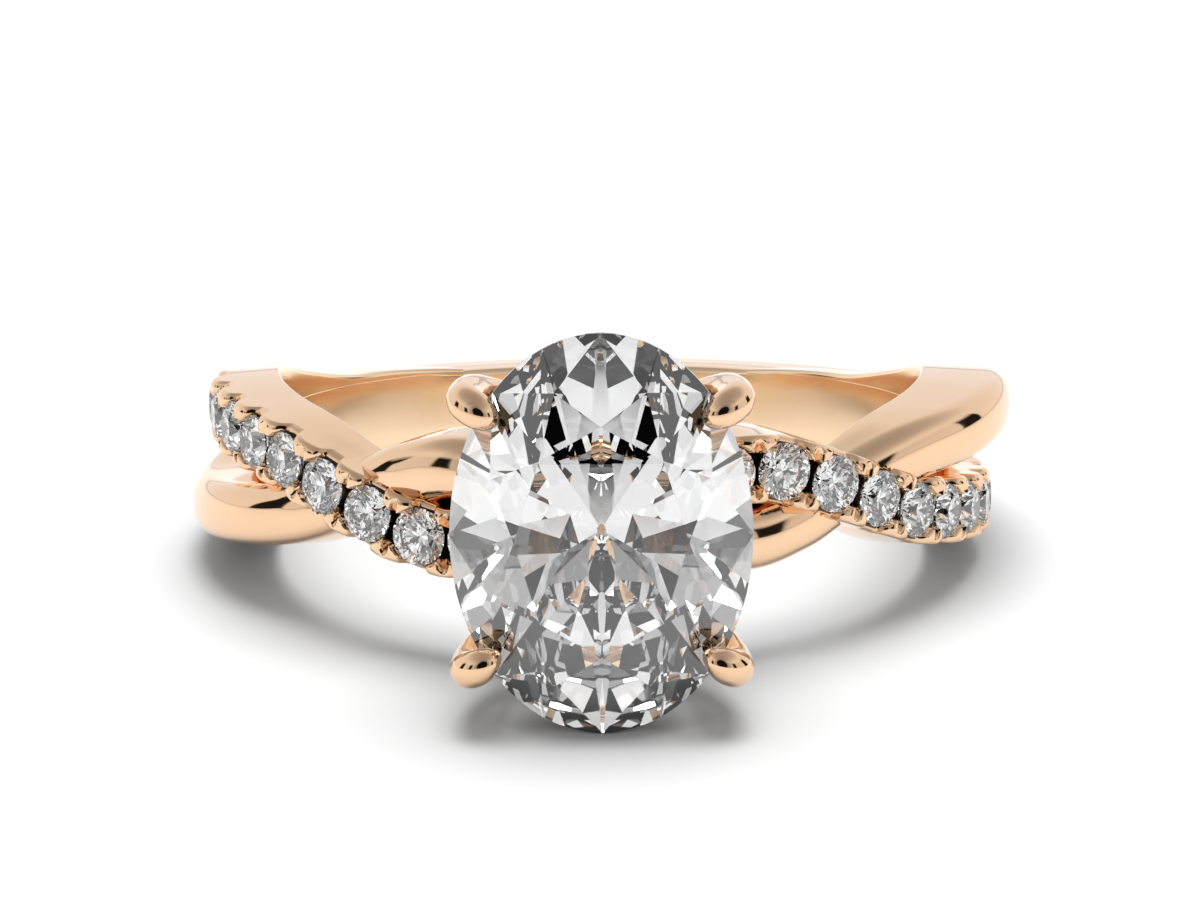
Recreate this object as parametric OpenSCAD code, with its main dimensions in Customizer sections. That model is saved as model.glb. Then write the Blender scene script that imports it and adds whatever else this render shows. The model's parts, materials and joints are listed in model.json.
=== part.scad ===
// Crossover engagement ring: an oval stone in four claws over two strands that cross at
// each shoulder, one of them plain and one set with a row of small round stones.
// The ring is worked out with its finger hole along Z, its middle at the origin and its
// head towards -Y. It is then laid down as it rests by itself, on the lower end of the
// oval stone and the back of the band, with the origin under the middle of its box.
// Angles round the ring are counted from the head, and are positive towards +X.

/* [Finger hole] */
// Diameter of the finger hole
finger_d = 17.3; // [16.5:0.1:18.2]

/* [Strands] */
// Width of the set strand across its outer face
strand_w = 1.72; // [1.66:0.02:1.8]
// Width of the plain strand across its outer face
plain_w = 1.62; // [1.56:0.02:1.7]
// Extra width on each side of a strand at the finger hole
strand_flare = 0.1; // [0:0.02:0.2]
// Depth of the rounding on the outer face of the plain strand
plain_rounding = 0.75; // [0.6:0.05:0.8]
// Depth of the rounding beside the small stones
deck_rounding = 0.1; // [0.06:0.02:0.2]

/* [Back of the band] */
// Width of the band behind the fork
band_w = 2; // [1.96:0.02:2.1]
// Thickness of the band at the back
band_t = 1.95; // [1.93:0.01:2]
// Depth of the rounding on the outer face of the band
band_rounding = 0.15; // [0.1:0.05:0.3]

/* [Oval stone] */
// Width of the oval stone
oval_w = 7.2; // [7:0.05:7.4]
// Length of the oval stone, along the finger
oval_l = 9.6; // [9.4:0.05:9.8]
// Height of the middle of its girdle over the finger hole
oval_rise = 4.75; // [4.7:0.05:5]

/* [Small stones] */
// Diameter of a small round stone
round_d = 1.45; // [1.35:0.01:1.5]
// Number of small stones on each side of the head
round_count = 9; // [3:1:9]
// Angle from the head to the middle of the first small stone
round_first = 17.5; // [17:0.1:18]
// Angle from one small stone to the next
round_step = 8.46; // [8.4:0.01:8.5]
// Height of the girdles of the small stones over the finger hole
round_rise = 1.7; // [1.65:0.01:1.75]
// Gap between a stone and the metal that holds it
stone_gap = 0.02; // [0.015:0.005:0.03]

/* [Cut of the stones] */
// Width of the table, as a share of the width of the stone
table_share = 0.57; // [0.5:0.01:0.62]
// Slope of the crown facets
crown_angle = 34.5; // [30:0.5:36]
// Slope of the pavilion facets of the oval stone
pavilion_angle = 41; // [39:0.5:42]
// Slope of the pavilion facets of the small stones
small_pavilion_angle = 42; // [41.6:0.1:42.4]
// Height of the girdle, as a share of half the width of the stone
girdle_share = 0.06; // [0.05:0.01:0.08]

/* [Claws] */
// Angle of the claws round the oval's edge, from the ends of its width
claw_angle = 38; // [36:1:40]
// Thickness of a claw's shank
claw_d = 0.9; // [0.84:0.02:0.96]
// Thickness of the oval rail under the stone
rail_d = 0.7; // [0.6:0.05:0.8]
// Height of the rail over the finger hole
rail_rise = 2.3; // [2.25:0.05:2.5]
// Size of the rail, as a share of the oval stone
rail_share = 0.84; // [0.8:0.01:0.86]

/* [Hidden] */
finger_r = finger_d / 2;
girdle_r = finger_r + oval_rise;

// Path of the strands: the angle from the head, the rise of the plain strand's middle line
// on the +X side, the thickness of each strand over the finger hole, and the rounding of the
// set strand's outer face. The set strand falls where the plain one rises, and both change
// sign on the -X side. The row before zero lets the curve run on through the crossing under
// the head. Past the last small stone both strands sink into the back band.
ANGLE = 0;
RISE = 1;
PLAIN_T = 2;
SET_T = 3;
SET_ROUNDING = 4;
path = [
    [-20, 0.9, 1.75, 1.63, deck_rounding],
    [0, 0, 1.6, 1.6, deck_rounding],
    [20, -0.9, 1.75, 1.63, deck_rounding],
    [30, -0.6, 1.6, 1.63, deck_rounding],
    [40, 0.02, 1.4, 1.63, deck_rounding],
    [52, 0.72, 1.84, 1.63, deck_rounding],
    [65, 1.05, 2.28, 1.63, deck_rounding],
    [80, 1.26, 2.44, 1.63, deck_rounding],
    [92, 1.25, 2.41, 1.54, 0.25],
    [108, 0.79, 2.16, 1.7, 0.3],
    [125, 0.33, 1.86, 1.8, 0.3],
    [138, 0.26, 1.7, 1.7, 0.3],
    [150, 0.15, 1.55, 1.55, 0.3],
    [165, -0.1, 1.5, 1.5, 0.3]
];
strand_step = 4;
set_angles = [for (a = [-152:strand_step:152]) a];
plain_angles = [for (a = [-153.6:strand_step:150.4]) a];

// Thickness of the back band, from its first end between the strands to the back
band_path = [
    [90, 0.6],
    [101, 0.95],
    [110, 1.4],
    [121, band_t - 0.06],
    [132, band_t],
    [180, band_t],
    [228, band_t]
];
band_start = 101.5;
band_step = (360 - 2 * band_start) / 28;

// Middle line of a claw, from its foot to its tip: the distance out from the edge of the
// oval, square to that edge, the distance along the edge, the height over the girdle, and
// the thickness as a share of claw_d
OUT = 0;
ALONG = 1;
UP = 2;
THICK = 3;
claw_path = [
    [-2.3, -0.9, -3.7, 1.1],
    [-1.2, -0.3, -3.25, 1],
    [-0.5, 0.08, -2.75, 1],
    [0, 0.1, -2.1, 1],
    [0.3, 0.1, -1.4, 1],
    [0.42, 0.08, -0.7, 1],
    [0.45, 0.06, -0.15, 0.98],
    [0.43, 0.05, 0.2, 0.98],
    [0.33, 0.05, 0.45, 0.98],
    [0.13, 0.05, 0.62, 0.96],
    [-0.08, 0.04, 0.68, 0.84],
    [-0.28, 0.03, 0.62, 0.6],
    [-0.42, 0.03, 0.53, 0.26]
];
claw_sides = 10;

// Pairs of beads that hold the small stones, on both edges of the strand between two stones:
// the length and width of a pair and its place across the strand, as shares of a stone's
// diameter, then the heights of its foot, shoulder and top over the girdle, and the notch
// between the two beads
pair_length = 0.58;
pair_width = 0.34;
pair_across = 0.425;
pair_foot = -0.5;
pair_shoulder = 0.08;
pair_top = 0.21;
pair_crown = 0.6;
notch_w = 0.19;
notch_bottom = 0.02;

// Round cut-out in the strand's edges beside each small stone
scallop_r = 0.36;
scallop_rise = 0.21;

round_numbers = [1:round_count];

gold = "#e0b08c";
clear = "#e8eef4";
$fn = 48;

// Smooth curve through column c of a table of rows that start with an angle
function row_before(table, x, i = 0) =
    i >= len(table) - 3 || x < table[i + 2][ANGLE] ? i + 1 : row_before(table, x, i + 1);
function rate(table, i, c) =
    (table[i + 1][c] - table[i - 1][c]) / (table[i + 1][ANGLE] - table[i - 1][ANGLE]);
function smooth(table, x, c) =
    let (
        i = min(row_before(table, x), len(table) - 3),
        a = table[i],
        b = table[i + 1],
        step = b[ANGLE] - a[ANGLE],
        u = (x - a[ANGLE]) / step,
        start = rate(table, i, c) * step,
        end = rate(table, i + 1, c) * step
    )
    a[c] * (1 + 2 * u) * pow(1 - u, 2) + start * u * pow(1 - u, 2)
    + b[c] * (3 - 2 * u) * u * u - end * (1 - u) * u * u;

// Middle line of a strand. The set strand has hand 1 and the plain one -1.
function middle(angle, hand) = -hand * sign(angle) * smooth(path, abs(angle), RISE);
function lean(angle, hand) =
    let (turn = 1, run = 2 * turn * PI / 180 * (finger_r + round_rise))
    atan((middle(angle + turn, hand) - middle(angle - turn, hand)) / run);

// Point of the ring at a distance across the strand and a radius
function strand_point(angle, hand, across, r) =
    let (
        tip = lean(angle, hand),
        a = angle - across * sin(tip) / r * 180 / PI
    )
    [r * sin(a), -r * cos(a), middle(angle, hand) + across * cos(tip)];

// Section of a strand or band: straight sides from inside the finger hole, and a rounded
// outer face, which a smaller power makes flatter. Each point is a distance across and a
// radius. The sections start at different depths inside the hole, which is bored last.
set_inside = 0.35;
plain_inside = 0.5;
band_inside = 0.65;
roundness = 0.55;
plain_roundness = 0.8;
function bent(v, power) = sign(v) * pow(abs(v), power);
function section(half, flare, thickness, rounding, inside, power = roundness) = concat(
    [for (t = [0:30:180])
        [half * bent(cos(t), power),
            finger_r + thickness - rounding + rounding * bent(sin(t), power)]],
    [[-half - flare, finger_r - inside], [half + flare, finger_r - inside]]
);

// Skin over a row of closed rings that all have the same number of points
module skin(rings) {
    n = len(rings[0]);
    last = len(rings) - 1;
    walls = [
        for (i = [0:last - 1], j = [0:n - 1])
            let (k = (j + 1) % n)
            each [
                [i * n + j, (i + 1) * n + k, i * n + k],
                [i * n + j, (i + 1) * n + j, (i + 1) * n + k]
            ]
    ];
    start = [for (j = [0:n - 1]) j];
    end = [for (j = [n - 1:-1:0]) last * n + j];
    polyhedron([for (ring = rings) each ring], concat(walls, [start, end]), convexity = 8);
}

// Skin over rings that close on themselves, such as a rail
module skin_loop(rings) {
    n = len(rings[0]);
    m = len(rings);
    walls = [
        for (i = [0:m - 1], j = [0:n - 1])
            let (k = (j + 1) % n, next = (i + 1) % m)
            each [
                [i * n + j, i * n + k, next * n + k],
                [i * n + j, next * n + k, next * n + j]
            ]
    ];
    polyhedron([for (ring = rings) each ring], walls, convexity = 8);
}

module set_strand() {
    skin([
        for (a = set_angles)
            let (
                t = smooth(path, abs(a), SET_T),
                rounding = smooth(path, abs(a), SET_ROUNDING)
            )
            [for (p = section(strand_w / 2, strand_flare, t, rounding, set_inside))
                strand_point(a, 1, p[0], p[1])]
    ]);
}

module plain_strand() {
    skin([
        for (a = plain_angles)
            let (t = smooth(path, abs(a), PLAIN_T))
            [for (p = section(plain_w / 2, strand_flare, t, plain_rounding, plain_inside, plain_roundness))
                strand_point(a, -1, p[0], p[1])]
    ]);
}

// Section of the back band, which is square to the ring
function band_section(angle) =
    let (t = smooth(band_path, min(angle, 360 - angle), 1))
    section(band_w / 2, 0, t, band_rounding, band_inside);

module back_band() {
    skin([
        for (a = [band_start:band_step:360 - band_start])
            [for (p = band_section(a)) [p[1] * sin(a), -p[1] * cos(a), p[0]]]
    ]);
}

// Brilliant cut with its table towards +Z and the middle of its girdle at the origin, for a
// girdle of radius 1. Eight main facets go round it, with stars and halves between them,
// and each half meets the round girdle along a curve of arc_steps pieces. The slope is that
// of the pavilion.
function ring_of(count, r, z, turn = 0) =
    [for (i = [0:count - 1]) [r * cos(i * 360 / count + turn), r * sin(i * 360 / count + turn), z]];

module brilliant(arc_steps, slope) {
    mains = 8;
    half_turn = 180 / mains;
    arc_turn = half_turn / arc_steps;
    girdle_points = 2 * mains * arc_steps;
    chord = cos(half_turn / 2);
    star_r = (1 + table_share) / 2;
    lower_r = 0.23;
    star_z = (1 - star_r * cos(half_turn)) * tan(crown_angle);
    lower_z = (1 - lower_r * cos(half_turn)) * tan(slope);
    upper_rate = star_z / (chord - star_r * chord);
    lower_rate = lower_z / (chord - lower_r * chord);
    half_girdle = girdle_share / 2;

    // How far a point of the girdle stands out past the chord of its half facet
    bulge = [
        for (i = [0:girdle_points - 1])
            cos((i % arc_steps) * arc_turn - half_turn / 2) - chord
    ];
    edge = ring_of(girdle_points, 1, 0);
    points = concat(
        ring_of(mains, table_share, half_girdle + (1 - table_share) * tan(crown_angle)),
        ring_of(mains, star_r, half_girdle + star_z, half_turn),
        [for (i = [0:girdle_points - 1]) edge[i] + [0, 0, half_girdle - upper_rate * bulge[i]]],
        [for (i = [0:girdle_points - 1]) edge[i] - [0, 0, half_girdle - lower_rate * bulge[i]]],
        ring_of(mains, lower_r, -half_girdle - lower_z, half_turn),
        [[0, 0, -half_girdle - tan(slope)]]
    );
    star = mains;
    top = 2 * mains;
    bottom = top + girdle_points;
    lower = bottom + girdle_points;
    culet = lower + mains;
    facets = concat(
        [[for (k = [mains - 1:-1:0]) k]],
        [for (k = [0:mains - 1]) [k, (k + 1) % mains, star + k]],
        [for (k = [0:mains - 1])
            [k, star + k, top + 2 * k * arc_steps, star + (k + mains - 1) % mains]],
        [for (h = [0:2 * mains - 1])
            concat([star + floor(h / 2)],
                [for (i = [arc_steps:-1:0]) top + (h * arc_steps + i) % girdle_points])],
        [for (i = [0:girdle_points - 1])
            let (j = (i + 1) % girdle_points) [top + i, top + j, bottom + j, bottom + i]],
        [for (h = [0:2 * mains - 1])
            concat([lower + floor(h / 2)],
                [for (i = [0:arc_steps]) bottom + (h * arc_steps + i) % girdle_points])],
        [for (k = [0:mains - 1])
            [culet, lower + (k + mains - 1) % mains, bottom + 2 * k * arc_steps, lower + k]]
    );
    polyhedron(points, facets, convexity = 2);
}

// The oval stone, or the room that it needs when more is not zero
module oval_stone(more = 0) {
    translate([0, -girdle_r, 0])
    rotate([90, 0, 0])
    scale([oval_w / 2 + more, oval_l / 2 + more, oval_w / 2 + more])
    brilliant(4, pavilion_angle);
}

// Puts its children at a small stone, with X along the strand and Z out of the ring
function round_angle(i, side) = side * (round_first + (i - 1) * round_step);
module at_round_stone(i, side) {
    angle = round_angle(i, side);
    translate([0, 0, middle(angle, 1)])
    rotate([0, 0, angle])
    translate([0, -finger_r - round_rise, 0])
    rotate([90, 0, 0])
    rotate([0, 0, lean(angle, 1)])
    children();
}

module round_stone() {
    scale(round_d / 2) brilliant(1, small_pavilion_angle);
}

// Seat of a small stone: a turned pocket that clears its pavilion, girdle and crown
seat_sides = 12;
seat_slope = 43;
module round_seat() {
    r = (round_d / 2 + stone_gap) / cos(180 / seat_sides);
    edge = girdle_share * round_d / 4 + stone_gap;
    crown = 0.25;
    rotate([0, 0, 180 / seat_sides])
    rotate_extrude($fn = seat_sides)
    polygon([
        [0, -edge - r * tan(seat_slope)],
        [r, -edge],
        [r, edge],
        [r - crown / tan(seat_slope), edge + crown],
        [0, edge + crown]
    ]);
}

// Two pairs of beads between two small stones, one on each edge of the strand
function pair_ring(size, z) =
    [for (p = ring_of(8, size, z, 22.5))
        [p[0] * pair_length * round_d / 2, p[1] * pair_width * round_d / 2, z]];
module bead_pairs() {
    difference() {
        for (y = [-1, 1])
            translate([0, y * pair_across * round_d, 0])
            skin([
                pair_ring(1, pair_foot),
                pair_ring(1, pair_shoulder),
                pair_ring(pair_crown, pair_top)
            ]);
        rotate([90, 0, 0])
        linear_extrude(2 * strand_w, center = true)
        polygon([[0, notch_bottom], [notch_w, 2 * pair_top], [-notch_w, 2 * pair_top]]);
    }
}

module scallop() {
    translate([0, 0, scallop_rise])
    rotate([90, 0, 0])
    cylinder(h = 1.12 * strand_w, r = scallop_r, center = true, $fn = 12);
}

// Claw square to the edge of the oval: X is out from the edge, Y along it and Z up
corner = [oval_w / 2 * cos(claw_angle), oval_l / 2 * sin(claw_angle)];
corner_turn = atan2(oval_w * sin(claw_angle), oval_l * cos(claw_angle));
claw_last = len(claw_path) - 1;
function claw_at(i) = [claw_path[i][OUT], claw_path[i][ALONG], claw_path[i][UP]];
function claw_ring(i) =
    let (
        run = claw_at(min(i + 1, claw_last)) - claw_at(max(i - 1, 0)),
        out = [run[2], 0, -run[0]] / norm([run[0], run[2]]),
        r = claw_path[i][THICK] * claw_d / 2
    )
    [for (j = [0:claw_sides - 1])
        let (t = j * 360 / claw_sides)
        claw_at(i) + r * (cos(t) * out + [0, sin(t), 0])];
module claw() {
    skin([for (i = [0:claw_last]) claw_ring(i)]);
}

// Oval rail that joins the claws under the stone
module rail() {
    steps = 32;
    around = 8;
    skin_loop([
        for (i = [0:steps - 1])
            let (
                t = (i + 0.5) * 360 / steps,
                spot = rail_share * [oval_w / 2 * cos(t), oval_l / 2 * sin(t), 0],
                out = [oval_l * cos(t), oval_w * sin(t), 0] / norm([oval_l * cos(t), oval_w * sin(t)])
            )
            [for (j = [0:around - 1])
                let (v = j * 360 / around)
                spot + rail_d / 2 * (cos(v) * out + [0, 0, sin(v)]) + [0, 0, rail_rise - oval_rise]]
    ]);
}

module head() {
    translate([0, -girdle_r, 0])
    rotate([90, 0, 0]) {
        for (side = [-1, 1], end = [-1, 1])
            scale([side, end, 1])
            translate([corner[0], corner[1], 0])
            rotate([0, 0, corner_turn])
            claw();
        rail();
    }
}

// All the metal before the finger hole is bored
module casting() {
    difference() {
        union() {
            set_strand();
            plain_strand();
            back_band();
            head();
            for (side = [-1, 1], i = [0:round_count])
                at_round_stone(i + 0.5, side) bead_pairs();
        }
        for (side = [-1, 1], i = round_numbers)
            at_round_stone(i, side) {
                scallop();
                round_seat();
            }
        oval_stone(stone_gap);
    }
}

// Width of the casting, between the outer faces of the plain strand
side_reach = [for (a = plain_angles) (finger_r + smooth(path, abs(a), PLAIN_T)) * sin(a)];
across = max(side_reach) - min(side_reach);

// How the ring lies: the line under the lower end of the oval and the back of the band
tip_y = -girdle_r + girdle_share / 2 * oval_w / 2;
tip_z = -oval_l / 2;
lie = min([for (p = band_section(180)) atan((-abs(p[0]) - tip_z) / (p[1] - tip_y))]);
lift = tip_y * sin(lie) - tip_z * cos(lie);

// The lower claws reach furthest forward, and the band furthest back
front_reach = min([
    for (i = [0:claw_last], p = claw_ring(i))
        let (down = corner[1] + p[0] * sin(corner_turn) + abs(p[1]) * cos(corner_turn))
        -(girdle_r + p[2]) * cos(lie) - down * sin(lie)
]);
back_reach = max([for (p = band_section(180)) p[1] * cos(lie) + p[0] * sin(lie)]);
module lying() {
    translate([0, -(front_reach + back_reach) / 2, lift]) rotate([-lie, 0, 0]) children();
}

module ring_body() {
    color(gold)
    lying()
    difference() {
        resize([across, 0, 0]) casting();
        cylinder(h = 4 * strand_w, r = finger_r, center = true, $fn = 96);
    }
}

module center_stone() {
    color(clear) lying() oval_stone();
}

module small_stone(i, side) {
    color(clear) lying() at_round_stone(i, side) round_stone();
}

ring_body();
center_stone();
for (i = round_numbers) {
    small_stone(i, -1);
    small_stone(i, 1);
}
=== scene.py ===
import json
import math

import bmesh
import bpy
import numpy as np
from mathutils import Matrix, Vector


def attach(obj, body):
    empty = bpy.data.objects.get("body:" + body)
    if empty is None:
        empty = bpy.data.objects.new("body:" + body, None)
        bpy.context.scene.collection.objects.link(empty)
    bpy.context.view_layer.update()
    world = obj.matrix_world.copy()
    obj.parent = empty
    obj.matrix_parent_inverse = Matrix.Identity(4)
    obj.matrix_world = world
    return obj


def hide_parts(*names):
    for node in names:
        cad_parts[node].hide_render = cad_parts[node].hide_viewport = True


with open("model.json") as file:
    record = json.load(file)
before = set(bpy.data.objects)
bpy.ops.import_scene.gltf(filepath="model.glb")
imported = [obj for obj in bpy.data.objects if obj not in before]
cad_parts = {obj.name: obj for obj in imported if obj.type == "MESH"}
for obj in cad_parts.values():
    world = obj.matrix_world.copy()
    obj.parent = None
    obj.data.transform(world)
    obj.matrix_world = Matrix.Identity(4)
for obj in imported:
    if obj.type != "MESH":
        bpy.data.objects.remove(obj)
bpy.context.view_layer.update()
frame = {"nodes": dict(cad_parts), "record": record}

# Sizes in millimetres, in the ring's own frame: the finger hole is along Z, the head towards
# -Y, and angles are counted from the head, positive towards +X.
FINGER_R = 8.65
STRAND_HALF = 0.86
PLAIN_HALF = 0.81
STRAND_FLARE = 0.1
PLAIN_ROUNDING = 0.75
DECK_ROUNDING = 0.1
BAND_HALF = 1.0
BAND_T = 1.95
BAND_ROUNDING = 0.15
BAND_START = 101.5
OVAL_W = 7.2
OVAL_L = 9.6
OVAL_RISE = 4.75
GIRDLE_R = FINGER_R + OVAL_RISE
ROUND_COUNT = 9
ROUND_FIRST = 17.5
ROUND_STEP = 8.46
ROUND_RISE = 1.7
ROUND_R = FINGER_R + ROUND_RISE
CLAW_ANGLE = math.radians(38)
CLAW_D = 0.9
RAIL_D = 0.7
RAIL_RISE = 2.3 - OVAL_RISE
RAIL_SHARE = 0.84
STONE_GAP = 0.02

# Depth inside the finger hole to which the sides flare, as the hole is bored last
STRAND_INSIDE = 0.35
PLAIN_INSIDE = 0.5
BAND_INSIDE = 0.65
# How far the strands' inner faces stand back from the band's, so that they don't coincide
PLAIN_BACK = 0.006
SET_BACK = 0.012
# Powers of the outer faces' rounding, which are flatter where they are smaller
ROUNDNESS = 0.55
PLAIN_ROUNDNESS = 0.8
# Rounding of a section's edges at the finger hole
BORE_EDGE = 0.12

# Path of the strands: angle, rise of the plain strand's middle line on the +X side, thickness
# of the plain and of the set strand, rounding of the set strand
RISE, PLAIN_T, SET_T, SET_ROUNDING = 1, 2, 3, 4
PATH = np.array([
    (-20, 0.9, 1.75, 1.63, DECK_ROUNDING),
    (0, 0, 1.6, 1.6, DECK_ROUNDING),
    (20, -0.9, 1.75, 1.63, DECK_ROUNDING),
    (30, -0.6, 1.6, 1.63, DECK_ROUNDING),
    (40, 0.02, 1.4, 1.63, DECK_ROUNDING),
    (52, 0.72, 1.84, 1.63, DECK_ROUNDING),
    (65, 1.05, 2.28, 1.63, DECK_ROUNDING),
    (80, 1.26, 2.44, 1.63, DECK_ROUNDING),
    (92, 1.25, 2.41, 1.54, 0.25),
    (108, 0.79, 2.16, 1.7, 0.3),
    (125, 0.33, 1.86, 1.8, 0.3),
    (138, 0.26, 1.7, 1.7, 0.3),
    (150, 0.15, 1.55, 1.55, 0.3),
    (165, -0.1, 1.5, 1.5, 0.3),
])
# Back band: angle and thickness
BAND_PATH = np.array([
    (90, 0.6),
    (101, 0.95),
    (110, 1.4),
    (121, BAND_T - 0.06),
    (132, BAND_T),
    (180, BAND_T),
    (228, BAND_T),
])
# Middle line of a claw: distance out from the oval's edge and along it, height over the
# girdle, thickness share
CLAW_PATH = np.array([
    (-2.3, -0.9, -3.7, 1.1),
    (-1.2, -0.3, -3.25, 1),
    (-0.5, 0.08, -2.75, 1),
    (0, 0.1, -2.1, 1),
    (0.3, 0.1, -1.4, 1),
    (0.42, 0.08, -0.7, 1),
    (0.45, 0.06, -0.15, 0.98),
    (0.43, 0.05, 0.2, 0.98),
    (0.33, 0.05, 0.45, 0.98),
    (0.13, 0.05, 0.62, 0.96),
    (-0.08, 0.04, 0.68, 0.84),
    (-0.28, 0.03, 0.62, 0.6),
    (-0.42, 0.03, 0.53, 0.26),
])

# The ring lies down with its hole where the record's mount says
hole = frame["record"]["mounts"][0]
lie = math.atan2(hole["axis"][1], hole["axis"][2])
LAY = Matrix.Translation(hole["pos_m"]) @ Matrix.Rotation(-lie, 4, "X") @ Matrix.Scale(0.001, 4)
HEAD = LAY @ Matrix.Translation((0, -GIRDLE_R, 0)) @ Matrix.Rotation(math.radians(90), 4, "X")


# Curves and sections
def smooth(table, x, column):
    """Smooth curve through a column of a table whose rows start with an angle."""
    i = int(np.clip(np.searchsorted(table[:, 0], x, side="right") - 1, 1, len(table) - 3))
    before, a, b, after = table[i - 1], table[i], table[i + 1], table[i + 2]
    step = b[0] - a[0]
    u = (x - a[0]) / step
    start = (b[column] - before[column]) / (b[0] - before[0]) * step
    end = (after[column] - a[column]) / (after[0] - a[0]) * step
    return (a[column] * (1 + 2 * u) * (1 - u) ** 2 + start * u * (1 - u) ** 2
            + b[column] * (3 - 2 * u) * u * u - end * (1 - u) * u * u)


def middle(angle, hand):
    """Height of a strand's middle line. The hand is 1 for the set strand, -1 for the plain."""
    return -hand * np.sign(angle) * smooth(PATH, abs(angle), RISE)


def lean(angle, hand):
    """Slope of a strand's middle line, as an angle."""
    run = 2 * math.radians(1) * ROUND_R
    return math.atan((middle(angle + 1, hand) - middle(angle - 1, hand)) / run)


def ring_point(turn, r, rise):
    return (r * math.sin(turn), -r * math.cos(turn), rise)


def strand_point(angle, hand, across, r):
    tip = lean(angle, hand)
    turn = math.radians(angle) - across * math.sin(tip) / r
    return ring_point(turn, r, middle(angle, hand) + across * math.cos(tip))


def outer_rise(across, half, rounding):
    """Height of a rounded outer face, counted from the middle of the face."""
    share = np.clip(np.abs(across) / half, 0, 1)
    return rounding * ((1 - share ** (2 / ROUNDNESS)) ** (ROUNDNESS / 2) - 1)


def side_width(half, flare, r, top, inside):
    """Half the width at a radius: the sides flare from top down to inside the finger hole."""
    return half + flare * max(0.0, top - r) / (top - FINGER_R + inside)


def lower_section(half, flare, left, right, bore, top, inside, edge=BORE_EDGE):
    """Sides and bore of a section, from the low end of its outer face round to the other."""
    def side(start):
        marks = [start - 0.02, start - 0.05, (start + bore + edge) / 2]
        return [(side_width(half, flare, r, top, inside), r) for r in marks]

    wide = side_width(half, flare, bore + edge, top, inside)
    turns = [math.pi / 2 * k / 7 for k in range(8)]
    corner = [(wide - edge * (1 - math.cos(t)), bore + edge * (1 - math.sin(t))) for t in turns]
    left_half = [(-w, r) for w, r in side(left) + corner]
    right_half = (side(right) + corner)[::-1]
    return left_half + [(-wide / 2, bore), (0, bore), (wide / 2, bore)] + right_half


def section(half, flare, thickness, rounding, bore, inside, power=ROUNDNESS, edge=BORE_EDGE):
    """Closed section of a strand or band: across and radius, with softened edges at the bore."""
    steps = 28
    outer = []
    for k in range(steps + 1):
        t = math.pi * k / steps
        c, s = math.cos(t), math.sin(t)
        outer.append((half * math.copysign(abs(c) ** power, c),
                      FINGER_R + thickness - rounding + rounding * s ** power))
    left, right = outer[-1][1], outer[0][1]
    return outer + lower_section(half, flare, left, right, bore, right, inside, edge)


# Meshes
def grid_faces(rows, cols, loop=False):
    """Quads over rows of closed rings, and a cap on each end unless the rows close in a loop."""
    faces = []
    for i in range(rows if loop else rows - 1):
        n = (i + 1) % rows
        for j in range(cols):
            k = (j + 1) % cols
            faces.append((i * cols + j, n * cols + j, n * cols + k, i * cols + k))
    if not loop:
        faces.append(tuple(range(cols)))
        faces.append(tuple((rows - 1) * cols + j for j in range(cols - 1, -1, -1)))
    return faces


def face_out(mesh, weld=None):
    """Turns a mesh's faces outwards, after welding points nearer than weld where it is given."""
    bm = bmesh.new()
    bm.from_mesh(mesh)
    if weld:
        bmesh.ops.remove_doubles(bm, verts=bm.verts, dist=weld)
    bmesh.ops.recalc_face_normals(bm, faces=bm.faces)
    bm.to_mesh(mesh)
    bm.free()


def finish_mesh(mesh, sharp):
    """Smooth faces that turn outwards, with edges sharp from an angle in degrees."""
    face_out(mesh)
    mesh.polygons.foreach_set("use_smooth", [True] * len(mesh.polygons))
    mesh.set_sharp_from_angle(angle=math.radians(sharp))


def add_object(name, data):
    obj = bpy.data.objects.new(name, data)
    bpy.context.scene.collection.objects.link(obj)
    return obj


def solid(name, rows, place=LAY, sharp=40, loop=False):
    """A mesh object skinned over rows of closed rings of points."""
    points = [tuple(map(float, p)) for row in rows for p in row]
    mesh = bpy.data.meshes.new(name)
    mesh.from_pydata(points, [], grid_faces(len(rows), len(rows[0]), loop))
    mesh.transform(place)
    finish_mesh(mesh, sharp)
    return add_object(name, mesh)


def cut(obj, cutter, sharp=40):
    """Takes the cutter away from obj and keeps the result as obj's own mesh."""
    mod = obj.modifiers.new("notch", "BOOLEAN")
    mod.operation = "DIFFERENCE"
    mod.solver = "EXACT"
    mod.object = cutter
    bpy.context.view_layer.update()
    depsgraph = bpy.context.evaluated_depsgraph_get()
    done = bpy.data.meshes.new_from_object(obj.evaluated_get(depsgraph))
    obj.modifiers.clear()
    obj.data = done
    finish_mesh(done, sharp)


# Shader nodes
def new_material(name):
    mat = bpy.data.materials.new(name)
    mat.use_nodes = True
    return mat, mat.node_tree.nodes, mat.node_tree.links


def join(links, node, place, value):
    """Links an input of a node to a socket, or sets it to a number or vector."""
    if isinstance(value, bpy.types.NodeSocket):
        links.new(value, node.inputs[place])
    else:
        node.inputs[place].default_value = value


def noise(nodes, links, coords, scale, detail, rough=0.5):
    node = nodes.new("ShaderNodeTexNoise")
    node.inputs["Scale"].default_value = scale
    node.inputs["Detail"].default_value = detail
    node.inputs["Roughness"].default_value = rough
    links.new(coords.outputs["Object"], node.inputs["Vector"])
    return node.outputs["Fac"]


def ramp(nodes, links, source, stops):
    node = nodes.new("ShaderNodeValToRGB")
    while len(node.color_ramp.elements) > 1:
        node.color_ramp.elements.remove(node.color_ramp.elements[-1])
    for k, (at, colour) in enumerate(stops):
        element = node.color_ramp.elements[0] if k == 0 else node.color_ramp.elements.new(at)
        element.position = at
        element.color = colour
    links.new(source, node.inputs["Fac"])
    return node.outputs["Color"]


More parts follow.
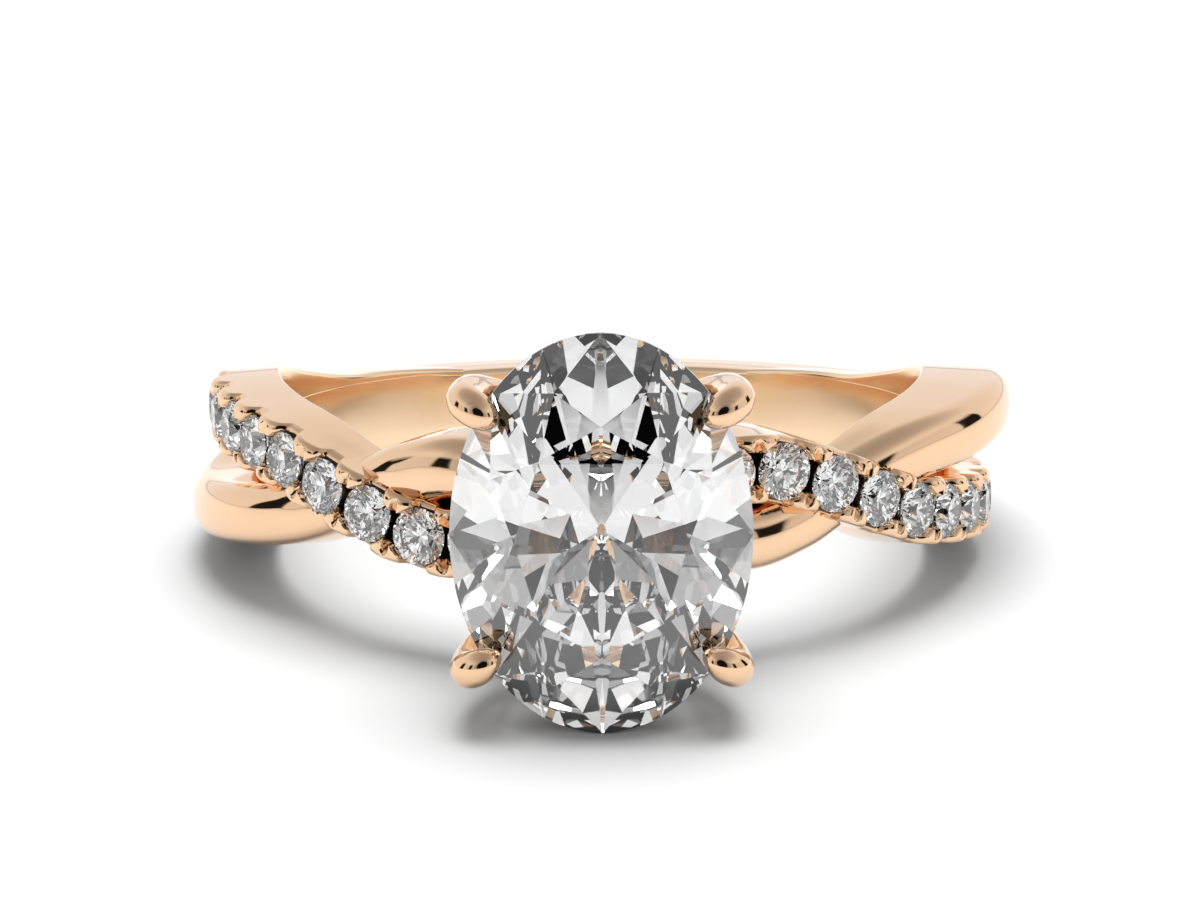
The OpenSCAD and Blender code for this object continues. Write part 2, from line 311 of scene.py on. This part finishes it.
def blend(nodes, links, factor, first, second, kind="MIX"):
    node = nodes.new("ShaderNodeMix")
    node.data_type = "RGBA"
    node.blend_type = kind
    for place, value in ((0, factor), (6, first), (7, second)):
        join(links, node, place, value)
    return node.outputs[2]


def calculate(nodes, links, operation, *values, kind="ShaderNodeMath"):
    node = nodes.new(kind)
    node.operation = operation
    for k, value in enumerate(values):
        join(links, node, k, value)
    return node.outputs["Value"]


def grey(v):
    return (v, v, v, 1)


# Materials
def rose_gold():
    mat, nodes, links = new_material("rose_gold_polish")
    shader = nodes["Principled BSDF"]
    shader.inputs["Metallic"].default_value = 1.0
    coords = nodes.new("ShaderNodeTexCoord")
    tint = noise(nodes, links, coords, 260, 2)
    polished = ramp(nodes, links, tint, [
        (0.35, (0.86, 0.575, 0.365, 1)), (0.65, (0.875, 0.6, 0.39, 1))])
    wear = noise(nodes, links, coords, 900, 5, 0.6)
    gloss = ramp(nodes, links, wear, [(0.3, grey(0.03)), (0.75, grey(0.075))])
    # The finger hole is satin, and its colour is made paler as painted light that brightens its
    # wall: the distance from its axis in centimetres tells where
    around = nodes.new("ShaderNodeMapping")
    around.vector_type = "TEXTURE"
    around.inputs["Location"].default_value = hole["pos_m"]
    around.inputs["Rotation"].default_value = (-lie, 0, 0)
    around.inputs["Scale"].default_value = (0.01, 0.01, 1000)
    links.new(coords.outputs["Object"], around.inputs["Vector"])
    distance = calculate(nodes, links, "LENGTH", around.outputs["Vector"],
                         kind="ShaderNodeVectorMath")
    satin = ramp(nodes, links, distance, [(0.867, grey(0.2)), (0.875, grey(0.0))])
    bore = ramp(nodes, links, distance, [(0.867, grey(1)), (0.875, grey(0))])
    # Painted light: a paler gold colour that lightens the finger hole's wall
    pale = ramp(nodes, links, tint, [(0.35, (1, 0.74, 0.49, 1)), (0.65, (1, 0.76, 0.51, 1))])
    links.new(blend(nodes, links, bore, polished, pale), shader.inputs["Base Color"])
    links.new(calculate(nodes, links, "MAXIMUM", gloss, satin), shader.inputs["Roughness"])
    grain = noise(nodes, links, coords, 5200, 4, 0.6)
    bump = nodes.new("ShaderNodeBump")
    bump.inputs["Strength"].default_value = 0.04
    bump.inputs["Distance"].default_value = 0.00001
    links.new(grain, bump.inputs["Height"])
    links.new(bump.outputs["Normal"], shader.inputs["Normal"])
    return mat


def pocket_shade_gold():
    """Rougher, unpolished metal at the bottom of the small stones' pockets, with a nearly black
    colour painted as shade in the pockets.
    """
    mat, nodes, links = new_material("rose_gold_pocket_shade")
    shader = nodes["Principled BSDF"]
    shader.inputs["Metallic"].default_value = 1.0
    tint = noise(nodes, links, nodes.new("ShaderNodeTexCoord"), 2500, 3)
    # Painted shade: the colour is nearly black, standing in for the shade in the pockets
    colour = ramp(nodes, links, tint, [
        (0.35, (0.1, 0.065, 0.045, 1)), (0.65, (0.16, 0.1, 0.07, 1))])
    gloss = ramp(nodes, links, tint, [(0.3, grey(0.35)), (0.7, grey(0.5))])
    links.new(colour, shader.inputs["Base Color"])
    links.new(gloss, shader.inputs["Roughness"])
    return mat


def diamond(name, scale):
    mat, nodes, links = new_material(name)
    shader = nodes["Principled BSDF"]
    shader.inputs["Transmission Weight"].default_value = 1.0
    shader.inputs["IOR"].default_value = 2.417
    coords = nodes.new("ShaderNodeTexCoord")
    tint = noise(nodes, links, coords, scale, 2)
    colour = ramp(nodes, links, tint, [(0.3, (0.985, 0.99, 1, 1)), (0.7, (1, 1, 1, 1))])
    polish = noise(nodes, links, coords, scale * 6, 4)
    gloss = ramp(nodes, links, polish, [(0.3, grey(0.0)), (0.8, grey(0.006))])
    links.new(colour, shader.inputs["Base Color"])
    links.new(gloss, shader.inputs["Roughness"])
    return mat


def pale_floor():
    mat, nodes, links = new_material("pale_floor")
    shader = nodes["Principled BSDF"]
    shader.inputs["Roughness"].default_value = 0.6
    speck = noise(nodes, links, nodes.new("ShaderNodeTexCoord"), 40, 3)
    tone = ramp(nodes, links, speck, [(0.3, grey(0.93)), (0.7, grey(0.95))])
    links.new(tone, shader.inputs["Base Color"])
    return mat


gold = rose_gold()
pocket_shade = pocket_shade_gold()
oval_glass = diamond("oval_diamond", 300)
round_glass = diamond("small_diamonds", 900)


def dress(data, mat):
    data.materials.clear()
    data.materials.append(mat)


def metal(obj):
    """Dresses a piece of the ring's metal and lets it stand for the CAD solid."""
    dress(obj.data, gold)
    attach(obj, "root")
    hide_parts("ring_body")
    return obj


# Plain strand. Where it passes under the set strand it stays clear of the stones' pockets.
UNDER_FROM, UNDER_TO = 28, 60
UNDER_HALF = 0.75
UNDER_R = FINGER_R + 0.9


def under_pockets(point):
    x, y, z = point
    angle = math.degrees(math.atan2(x, -y))
    from_middle = abs(z - middle(angle, 1)) * math.cos(lean(angle, 1))
    r = math.hypot(x, y)
    if UNDER_FROM < abs(angle) < UNDER_TO and from_middle < UNDER_HALF and r > UNDER_R:
        return (x * UNDER_R / r, y * UNDER_R / r, z)
    return point


def plain_row(angle):
    thickness = smooth(PATH, abs(angle), PLAIN_T)
    outline = section(PLAIN_HALF, STRAND_FLARE, thickness, PLAIN_ROUNDING, FINGER_R + PLAIN_BACK,
                      PLAIN_INSIDE, PLAIN_ROUNDNESS)
    return [under_pockets(strand_point(angle, -1, w, r)) for w, r in outline]


plain_angles = [
    *np.arange(-153.6, -60, 1.0), *np.arange(-60, 60, 0.5), *np.arange(60, 150.5, 1.0),
]
metal(solid("plain_strand", [plain_row(a) for a in plain_angles]))


# Back band, with its two ends between the strands, where its edges at the bore are hidden
def band_row(angle):
    from_head = min(angle, 360 - angle)
    edge = np.interp(from_head, [144, 152], [0.03, 0.2])
    outline = section(BAND_HALF, 0, smooth(BAND_PATH, from_head, 1), BAND_ROUNDING, FINGER_R,
                      BAND_INSIDE, edge=edge)
    return [ring_point(math.radians(angle), r, w) for w, r in outline]


metal(solid("back_band", [band_row(a) for a in np.linspace(BAND_START, 360 - BAND_START, 112)]))


# Stone-set strand: a deck with a pocket for each stone, scallops beside the stones, and pairs
# of beads between them. Heights are over the finger hole, lengths along or across the strand.
# The row starts and ends over two short runs, in steps from the first stone.
ROW_START = (-0.95, -0.72)
ROW_END = (ROUND_COUNT - 0.28, ROUND_COUNT - 0.05)
PAIR_TOP = ROUND_RISE + 0.21
LAST_PAIR_DROP = 0.16
PAIR_HALF = 0.42
PAIR_FOOT = 0.6
PAIR_CROWN = 0.1
NOTCH_HALF = 0.13
NOTCH_DEPTH = 0.26
NOTCH_FROM = 0.8
NOTCH_RUN = 0.3
SCALLOP_LOW = ROUND_RISE - 0.15
SCALLOP_IN = 0.13
SCALLOP_OUT = 0.41
LIP = 0.2
POCKET_R = 0.745
POCKET_R_AT_PAIR = 0.705
POCKET_TOP = 1.61
POCKET_SLOPE = 0.93
POCKET_WALL = 7
GAP_LOW = 1.15
GAP_HALF = 0.3
GAP_END = 0.2
GAP_SIDE_SLOPE = 6
GAP_END_SLOPE = 4


def ease(low, high, x):
    t = np.clip((x - low) / (high - low), 0, 1)
    return t * t * (3 - 2 * t)


def deck_height(angle, across):
    """Height of the set strand's outer face over the finger hole, at points across it."""
    a = abs(angle)
    base = smooth(PATH, a, SET_T) + outer_rise(across, STRAND_HALF, smooth(PATH, a, SET_ROUNDING))
    place = (a - ROUND_FIRST) / ROUND_STEP
    shown = ease(*ROW_START, place) * (1 - ease(*ROW_END, place))
    if shown == 0:
        return base
    pitch = math.radians(ROUND_STEP) * ROUND_R / math.cos(lean(angle, 1))
    near = min(max(round(place), 0), ROUND_COUNT - 1)
    pair = min(max(round(place + 0.5), 0), ROUND_COUNT) - 0.5
    from_stone = abs(place - near) * pitch
    from_pair = abs(place - pair) * pitch
    y = np.abs(across)
    high = ease(SCALLOP_IN, SCALLOP_OUT, from_stone) if from_pair < pitch / 2 else 0.0
    high *= 1 - ease(PAIR_HALF, PAIR_FOOT, from_pair)
    top = PAIR_TOP - (LAST_PAIR_DROP if pair > ROUND_COUNT - 1 else 0.0)
    edge = SCALLOP_LOW + (top - SCALLOP_LOW) * high
    height = edge - LIP * (1 - np.sqrt(1 - np.clip((y - STRAND_HALF + LIP) / LIP, 0, 1) ** 2))
    # Crown of a pair, and the notch between its two beads
    height = height - PAIR_CROWN * high * (from_pair / PAIR_HALF) ** 2
    inward = np.clip((NOTCH_FROM - y) / NOTCH_RUN, 0, 1)
    height = height - NOTCH_DEPTH * inward * max(0.0, 1 - from_pair / NOTCH_HALF)
    # Pockets of the nearest stones
    for stone in (near, near - 1, near + 1):
        if 0 <= stone < ROUND_COUNT:
            out = np.hypot((place - stone) * pitch, across)
            wall = POCKET_R_AT_PAIR if stone == near and high > 0.3 else POCKET_R
            pocket = np.where(out < wall, POCKET_TOP - (wall - out) * POCKET_SLOPE,
                              POCKET_TOP + (out - wall) * POCKET_WALL)
            height = np.minimum(height, pocket)
    # Gap between neighbouring stones
    gap = (GAP_LOW + GAP_SIDE_SLOPE * np.maximum(0, y - GAP_HALF)
           + GAP_END_SLOPE * max(0.0, from_pair - GAP_END))
    height = np.minimum(height, gap)
    return base + (height - base) * shown


half_marks = [0.86, 0.857, 0.848, 0.833, 0.812, 0.785, 0.755, 0.72, 0.685, 0.65, 0.615, 0.58, 0.545,
              0.51, 0.475, 0.44, 0.4, 0.36, 0.32, 0.28, 0.24, 0.2, 0.15, 0.1, 0.05]
deck_marks = np.array(half_marks + [0.0] + [-m for m in reversed(half_marks)])


def set_row(angle, heights):
    top = FINGER_R + smooth(PATH, abs(angle), SET_T) - smooth(PATH, abs(angle), SET_ROUNDING)
    marks = deck_marks.copy()
    for k in (0, -1):
        r = FINGER_R + heights[k]
        marks[k] = np.sign(marks[k]) * side_width(STRAND_HALF, STRAND_FLARE, r, top, STRAND_INSIDE)
    outer = [(w, FINGER_R + h) for w, h in zip(marks, heights)]
    lower = lower_section(STRAND_HALF, STRAND_FLARE, outer[-1][1], outer[0][1], FINGER_R + SET_BACK,
                          top, STRAND_INSIDE)
    return [strand_point(angle, 1, w, r) for w, r in outer + lower]


edge_angles = [*np.arange(-152, -92, 1.0), *np.arange(-92, -9, 0.25)]
set_angles = [*edge_angles, *np.arange(-9, 9, 1.0), *(-a for a in reversed(edge_angles))]
deck = np.array([deck_height(a, deck_marks) for a in set_angles])
rows = [set_row(a, heights) for a, heights in zip(set_angles, deck)]
set_strand = metal(solid("set_strand", rows, sharp=55))

# The low faces of the pockets, along the row of stones, are unpolished and take the nearly black
# painted pocket shade
POCKET_SHADE_HALF = 0.74
POCKET_SHADE_TOP = 1.6
set_strand.data.materials.append(pocket_shade)
for i, angle in enumerate(set_angles[:-1]):
    in_row = -0.5 < (abs(angle) - ROUND_FIRST) / ROUND_STEP < ROUND_COUNT - 0.5
    for j, mark in enumerate(deck_marks[:-1]):
        if in_row and abs(mark) < POCKET_SHADE_HALF and deck[i:i + 2, j:j + 2].max() < POCKET_SHADE_TOP:
            set_strand.data.polygons[i * len(rows[0]) + j].material_index = 1


# Head: claws and rail, notched to clear the oval stone
def claw_curve(u):
    """Point of the claw's table at u, smoothly between its rows."""
    last = len(CLAW_PATH) - 1
    i = int(min(u, last - 0.001))
    t = u - i
    p0, p1, p2, p3 = (CLAW_PATH[min(max(k, 0), last)] for k in (i - 1, i, i + 1, i + 2))
    return 0.5 * (2 * p1 + (p2 - p0) * t + (2 * p0 - 5 * p1 + 4 * p2 - p3) * t * t
                  + (3 * p1 - p0 - 3 * p2 + p3) * t ** 3)


def circle(around):
    """Cosine and sine of equal turns round a circle."""
    turns = (2 * math.pi * j / around for j in range(around))
    return [(math.cos(v), math.sin(v)) for v in turns]


def claw_rings(side, end, steps=6, around=28):
    """Rings round the middle line of the claw on a side (1 or -1) and an end of the oval."""
    corner = (OVAL_W / 2 * math.cos(CLAW_ANGLE), OVAL_L / 2 * math.sin(CLAW_ANGLE))
    turn = math.atan2(OVAL_W * math.sin(CLAW_ANGLE), OVAL_L * math.cos(CLAW_ANGLE))
    c, s = math.cos(turn), math.sin(turn)
    stations = [claw_curve(u / steps) for u in range(steps * (len(CLAW_PATH) - 1) + 1)]
    spots = [station[:3] for station in stations]
    rings = []
    for i, spot in enumerate(spots):
        run = spots[min(i + 1, len(spots) - 1)] - spots[max(i - 1, 0)]
        out = np.array((run[2], 0, -run[0])) / math.hypot(run[0], run[2])
        r = max(stations[i][3], 0.05) * CLAW_D / 2
        ring = [spot + r * (cos * out + np.array((0, sin, 0))) for cos, sin in circle(around)]
        rings.append([(side * (corner[0] + p[0] * c - p[1] * s),
                       end * (corner[1] + p[0] * s + p[1] * c), p[2]) for p in ring])
    return rings


def rail_rings(steps=96, around=20):
    rings = []
    for c, s in circle(steps):
        spot = np.array((RAIL_SHARE * OVAL_W / 2 * c, RAIL_SHARE * OVAL_L / 2 * s, RAIL_RISE))
        out = np.array((OVAL_L * c, OVAL_W * s, 0))
        out = out / np.linalg.norm(out)
        rings.append([spot + RAIL_D / 2 * (cos * out + np.array((0, 0, sin)))
                      for cos, sin in circle(around)])
    return rings


# The cutter is the oval stone, grown by the gap that it keeps to the metal
cutter_mesh = frame["nodes"]["center_stone"].data.copy()
stone_middle = HEAD.to_translation()
grow = Matrix.Scale(1 + STONE_GAP / (OVAL_W / 2), 4)
cutter_mesh.transform(Matrix.Translation(stone_middle) @ grow @ Matrix.Translation(-stone_middle))
face_out(cutter_mesh, weld=1e-7)
cutter = add_object("cutter", cutter_mesh)
places = {
    "upper_right": (1, 1), "upper_left": (-1, 1), "lower_left": (-1, -1), "lower_right": (1, -1),
}
head = [solid("claw_" + name, claw_rings(*place), HEAD) for name, place in places.items()]
head.append(solid("rail", rail_rings(), HEAD, loop=True))
for piece in head:
    cut(piece, cutter)
    metal(piece)
bpy.data.objects.remove(cutter)

# CAD nodes
for name, node in frame["nodes"].items():
    dress(node.data, {"ring_body": gold, "center_stone": oval_glass}.get(name, round_glass))

# Floor, with its half size in metres
FLOOR_HALF = 1.5
floor_mesh = bpy.data.meshes.new("floor")
floor_corners = [
    (x * FLOOR_HALF, y * FLOOR_HALF, 0) for x, y in ((-1, -1), (1, -1), (1, 1), (-1, 1))]
floor_mesh.from_pydata(floor_corners, [], [(0, 1, 2, 3)])
floor_mesh.materials.append(pale_floor())
add_object("floor", floor_mesh)

# Lights. The round lamp over the ring doesn't show in the metal's reflections.
lamp_data = bpy.data.lights.new("key_over", "AREA")
lamp_data.shape = "ELLIPSE"
lamp_data.size = lamp_data.size_y = 0.2
lamp_data.energy = 0.52
lamp = add_object("key_over", lamp_data)
lamp.location = (0.01, 0.025, 0.24)
lamp.rotation_euler = (Vector((0, 0.002, 0)) - lamp.location).to_track_quat("-Z", "Y").to_euler()
lamp.visible_glossy = False

# The sky is brightest at the horizon
world = bpy.data.worlds.new("studio")
bpy.context.scene.world = world
world.use_nodes = True
nodes, links = world.node_tree.nodes, world.node_tree.links
looking = nodes.new("ShaderNodeTexCoord").outputs["Generated"]
parts = nodes.new("ShaderNodeSeparateXYZ")
links.new(looking, parts.inputs["Vector"])
x, y, z = (parts.outputs[axis] for axis in "XYZ")
sky = ramp(nodes, links, z, [
    (0.0, grey(1.0)), (0.5, grey(0.92)), (0.75, grey(0.55)), (1.0, grey(0.4))])

# Black flags stand round the ring: angle from the camera's side, half the width in degrees,
# and the light before and after the flag
FLAGS = ((-93, 7, 1, 0.9), (-54, 6, 0.8, 0.8), (58, 6, 0.8, 0.8), (112, 8, 0.9, 1))
FLAG_LIGHT = 0.015
FLAG_LOW, FLAG_TOP = 0.3, 0.42
turn = calculate(nodes, links, "ARCTAN2", x, calculate(nodes, links, "MULTIPLY", y, -1))
share = calculate(nodes, links, "MULTIPLY_ADD", turn, 0.5 / math.pi, 0.5)
stops = [(0.0, grey(1))]
for angle, half, before, after in FLAGS:
    edges = ((-half - 1, before), (-half, FLAG_LIGHT), (half, FLAG_LIGHT), (half + 1, after))
    stops += [(0.5 + (angle + offset) / 360, grey(light)) for offset, light in edges]
flags = ramp(nodes, links, share, stops)
below = ramp(nodes, links, z, [(FLAG_LOW, grey(1)), (FLAG_TOP, grey(0))])
flagged = blend(nodes, links, below, sky, flags, "MULTIPLY")

# The camera and what is behind it are dark
FRONT_RISE = math.radians(16)
towards = (0, -math.cos(FRONT_RISE), math.sin(FRONT_RISE))
front = calculate(nodes, links, "DOT_PRODUCT", looking, towards, kind="ShaderNodeVectorMath")
dark = ramp(nodes, links, front, [
    (0.5, grey(1)), (0.6, grey(0.84)), (0.8, grey(0.78)), (0.82, grey(0.58)), (0.9, grey(0.48)),
    (0.91, grey(0.01))])
studio = blend(nodes, links, 1, flagged, dark, "MULTIPLY")
links.new(studio, nodes["Background"].inputs["Color"])
nodes["Background"].inputs["Strength"].default_value = 1.0

# Camera. The focal length and the shifts of the view are in pixels of the 1200 wide photo.
PHOTO_WIDTH = 1200
FOCAL = 3668
SHIFT_X, SHIFT_Y = 1, 5
SENSOR = 36
DISTANCE = 0.1
elevation = math.radians(9.05) + lie
camera_data = bpy.data.cameras.new("camera")
camera_data.sensor_width = SENSOR
camera_data.lens = SENSOR * FOCAL / PHOTO_WIDTH
camera_data.clip_start = 0.001
camera_data.clip_end = 10
camera = add_object("camera", camera_data)
away = Vector((0, -math.cos(elevation), math.sin(elevation)))
camera.location = Vector(hole["pos_m"]) + DISTANCE * away
pan = math.atan(SHIFT_X / FOCAL)
tilt = elevation + math.atan(SHIFT_Y / FOCAL)
roll = math.radians(0.33)
camera.rotation_euler = (Matrix.Rotation(pan, 3, "Z") @ Matrix.Rotation(math.pi / 2 - tilt, 3, "X")
                         @ Matrix.Rotation(-roll, 3, "Z")).to_euler()

bpy.context.scene.camera = camera

scene = bpy.context.scene
scene.view_settings.view_transform = "Standard"
scene.cycles.max_bounces = 24
scene.cycles.transmission_bounces = 24
scene.cycles.glossy_bounces = 8
scene.cycles.caustics_reflective = False
scene.cycles.caustics_refractive = False
